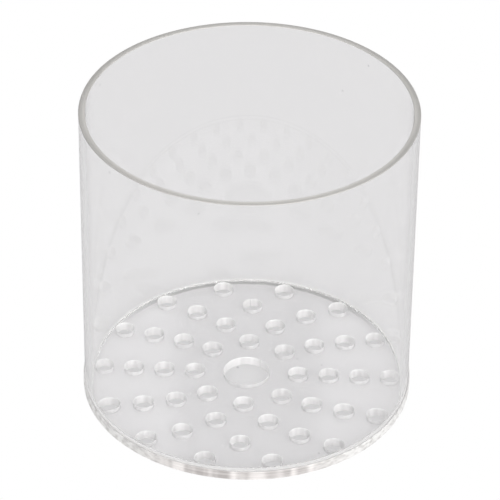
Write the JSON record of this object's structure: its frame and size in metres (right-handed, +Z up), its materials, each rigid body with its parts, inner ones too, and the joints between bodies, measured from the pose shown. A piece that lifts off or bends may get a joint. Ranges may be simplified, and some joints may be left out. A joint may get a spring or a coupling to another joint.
{
  "type": "queen cage",
  "caption": "Clear acrylic tube cage for handling a queen bee, open at the top and cemented on a perforated disc floor.",
  "frame": {"origin": "centre of the floor disc's underside, where the cage stands", "axes": "+Z up the tube towards the open mouth; the first hole of every ring of perforations lies on +X"},
  "size_m": [0.0504, 0.0504, 0.049],
  "materials": {
    "clear_tube": "colourless extruded acrylic, polished by the die inside and out, with a satin sawn rim",
    "clear_sheet": "colourless acrylic sheet with a glossy face each side, and smooth cut edges on the disc and its holes",
    "set_cement": "clear set solvent cement, glossy, with a faint haze"
  },
  "bodies": {
    "root": {"tube": "clear_tube", "floor_disc": "clear_sheet", "cement_ring": "set_cement"}
  },
  "joints": []
}
